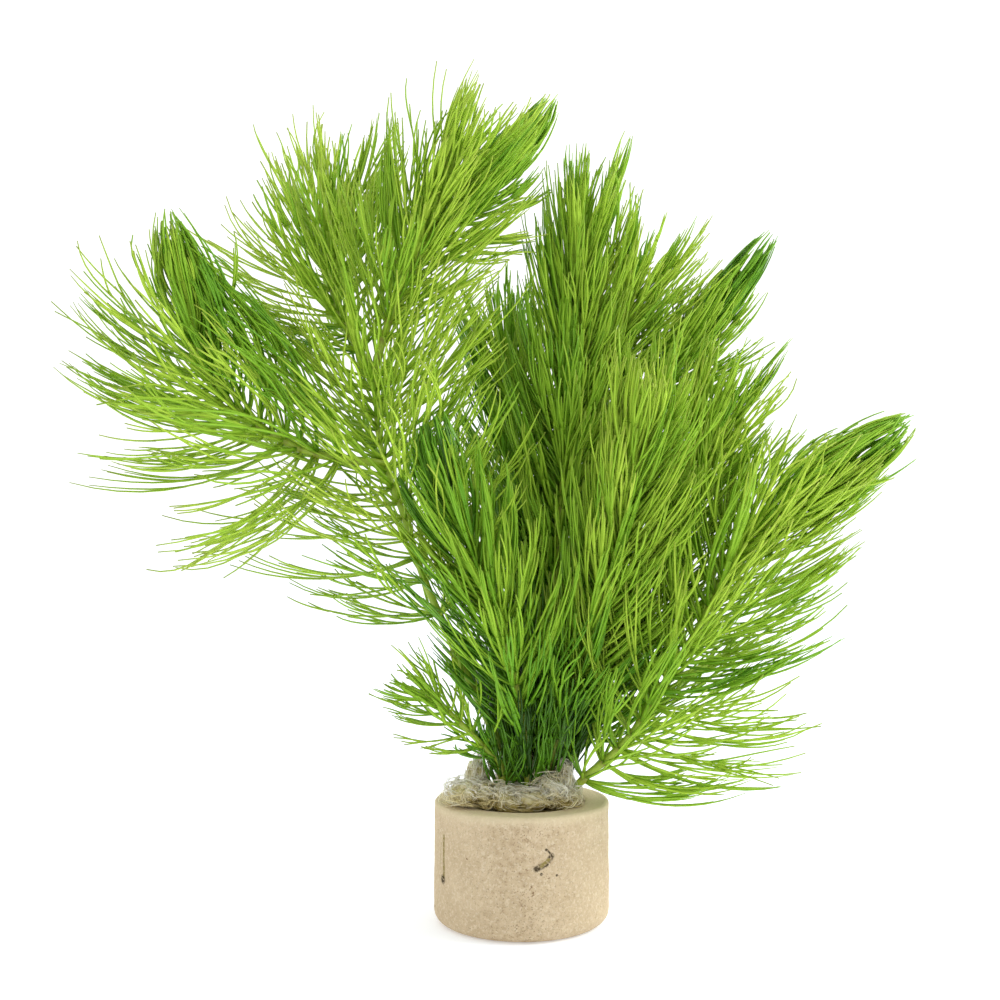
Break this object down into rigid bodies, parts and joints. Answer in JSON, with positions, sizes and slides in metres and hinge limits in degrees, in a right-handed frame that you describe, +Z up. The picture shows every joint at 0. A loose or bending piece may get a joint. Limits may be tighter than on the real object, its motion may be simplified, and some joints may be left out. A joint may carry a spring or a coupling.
{
  "type": "potted hornwort",
  "caption": "Bushy water plant with whorls of fine forked leaves, its cut shoots held by white wool in a small round clay pot.",
  "frame": {"origin": "the middle of the pot's flat underside", "axes": "+Z up the pot's axis, -Y towards the front, +X to the right as seen from the front"},
  "size_m": [0.1994, 0.0771, 0.1948],
  "materials": {
    "clay": "unglazed sand-coloured fired clay, rough, with fine brown specks",
    "wool": "damp white wadding with loose fibres and tan stains",
    "shoots": "fresh green water-plant leaves, soft sheen, darker and glossier where wet"
  },
  "bodies": {
    "root": {"clay_pot": "clay", "wool_plug": "wool", "left_shoot": "shoots", "left_shoot_side_branch": "shoots", "left_shoot_left_top": "shoots", "left_shoot_right_top": "shoots", "left_shoot_brush_top": "shoots", "low_left_shoot": "shoots", "front_shoot": "shoots", "front_right_shoot": "shoots", "middle_shoot": "shoots", "middle_shoot_upper_branch": "shoots", "middle_shoot_lower_branch": "shoots", "right_middle_shoot": "shoots", "right_shoot": "shoots", "back_left_shoot": "shoots", "back_right_shoot": "shoots"}
  },
  "joints": []
}
